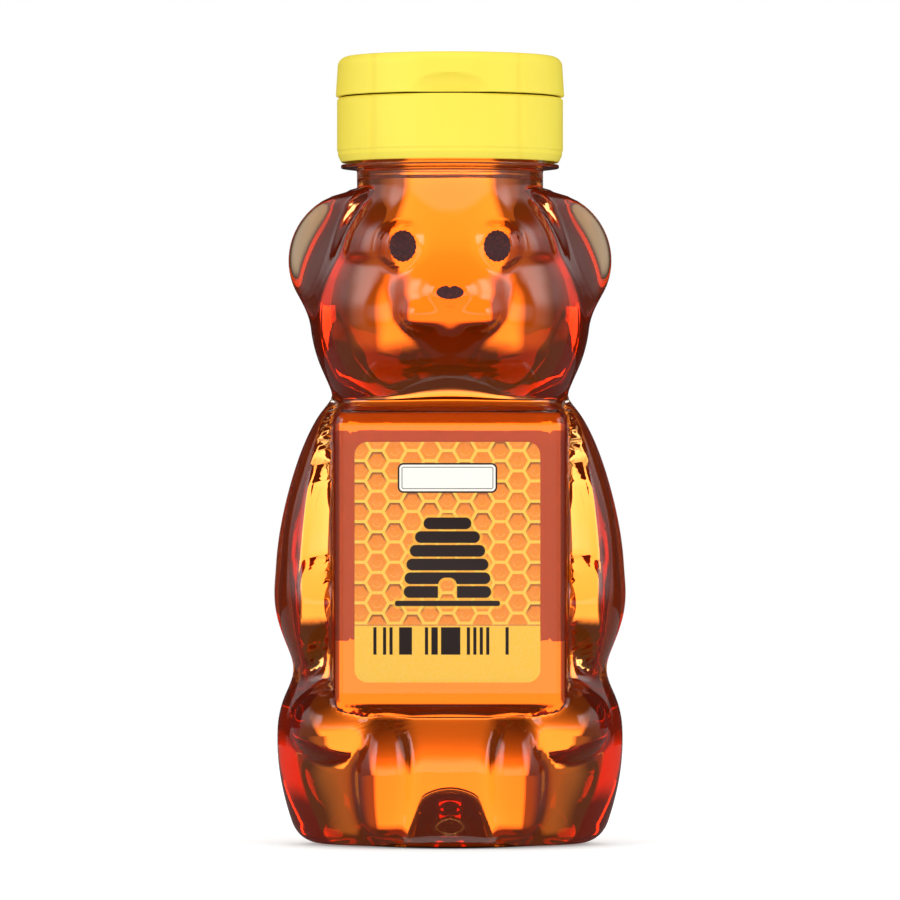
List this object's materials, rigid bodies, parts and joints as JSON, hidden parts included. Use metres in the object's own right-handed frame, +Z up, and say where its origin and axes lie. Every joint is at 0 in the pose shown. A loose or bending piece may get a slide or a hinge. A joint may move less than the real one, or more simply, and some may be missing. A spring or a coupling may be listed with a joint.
{
  "type": "honey bear bottle",
  "caption": "Seated-bear squeeze bottle filled with honey, with label panels and a screw-on flip-top pouring closure.",
  "frame": {"origin": "middle of the base, under the axis of the neck, on the surface that the bottle stands on", "axes": "+Z up along the axis of the neck and the closure; the bear faces -Y; its left is +X"},
  "size_m": [0.07, 0.0497, 0.1572],
  "materials": {
    "clear_plastic": "clear, glossy blown plastic",
    "honey": "clear amber liquid, drawn as a solid",
    "label_film": "satin printed film",
    "print_ink": "dark printing ink, satin",
    "liner_foam": "matt foamed liner",
    "yellow_plastic": "moulded, satin"
  },
  "bodies": {
    "bear": {"bottle": "clear_plastic", "honey": "honey", "front_label": "label_film", "back_label": "label_film", "left_eye": "print_ink", "right_eye": "print_ink", "nose_print": "print_ink"},
    "liner": {"cap_liner": "liner_foam"},
    "closure": {"closure_body": "yellow_plastic", "living_hinge": "yellow_plastic"},
    "lid": {"flip_lid": "yellow_plastic"}
  },
  "joints": [
    {"name": "closure_rise", "type": "slide", "parent": "bear", "child": "liner", "axis": [0, 0, 1], "range_m": [0, 0.0053]},
    {"name": "closure_turn", "type": "hinge", "parent": "liner", "child": "closure", "pos_m": [0, 0, 0.142], "axis": [0, 0, 1], "range_deg": [0, 450]},
    {"name": "lid_hinge", "type": "hinge", "parent": "closure", "child": "lid", "pos_m": [0, 0.0233, 0.14905], "axis": [-1, 0, 0], "range_deg": [0, 170], "deforming": ["living_hinge"]}
  ],
  "couplings": [
    {"joint": "closure_rise", "follows": "closure_turn", "m_per_rad": 0.0006737}
  ]
}
